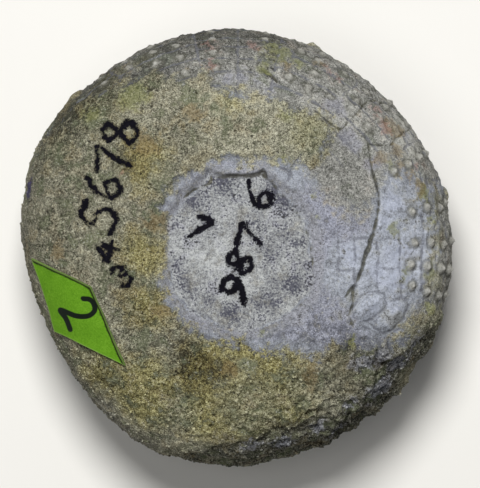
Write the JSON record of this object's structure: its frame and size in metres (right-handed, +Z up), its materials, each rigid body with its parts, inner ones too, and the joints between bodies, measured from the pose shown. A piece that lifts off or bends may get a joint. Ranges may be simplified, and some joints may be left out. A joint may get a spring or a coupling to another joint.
{
  "type": "fossil sea urchin",
  "caption": "Flattened round fossil sea urchin with rows of small tubercles, a rock-filled mouth on top, a sandy crust and a diamond paper label.",
  "frame": {"origin": "below the middle of the bounding box, in the plane of the worn face that the fossil lies on", "axes": "+Z up through the mouth, +X to the side with the cracked bare plates, +Y to the side with the small tubercled rim behind the crust"},
  "size_m": [0.0196, 0.0196, 0.0097],
  "materials": {
    "fossil_test": "rough sandy limestone crust in tan and olive, with smoother grey calcite plates",
    "paper_label": "matt bright green paper"
  },
  "bodies": {
    "root": {"fossil_test": "fossil_test", "paper_label": "paper_label"}
  },
  "joints": []
}
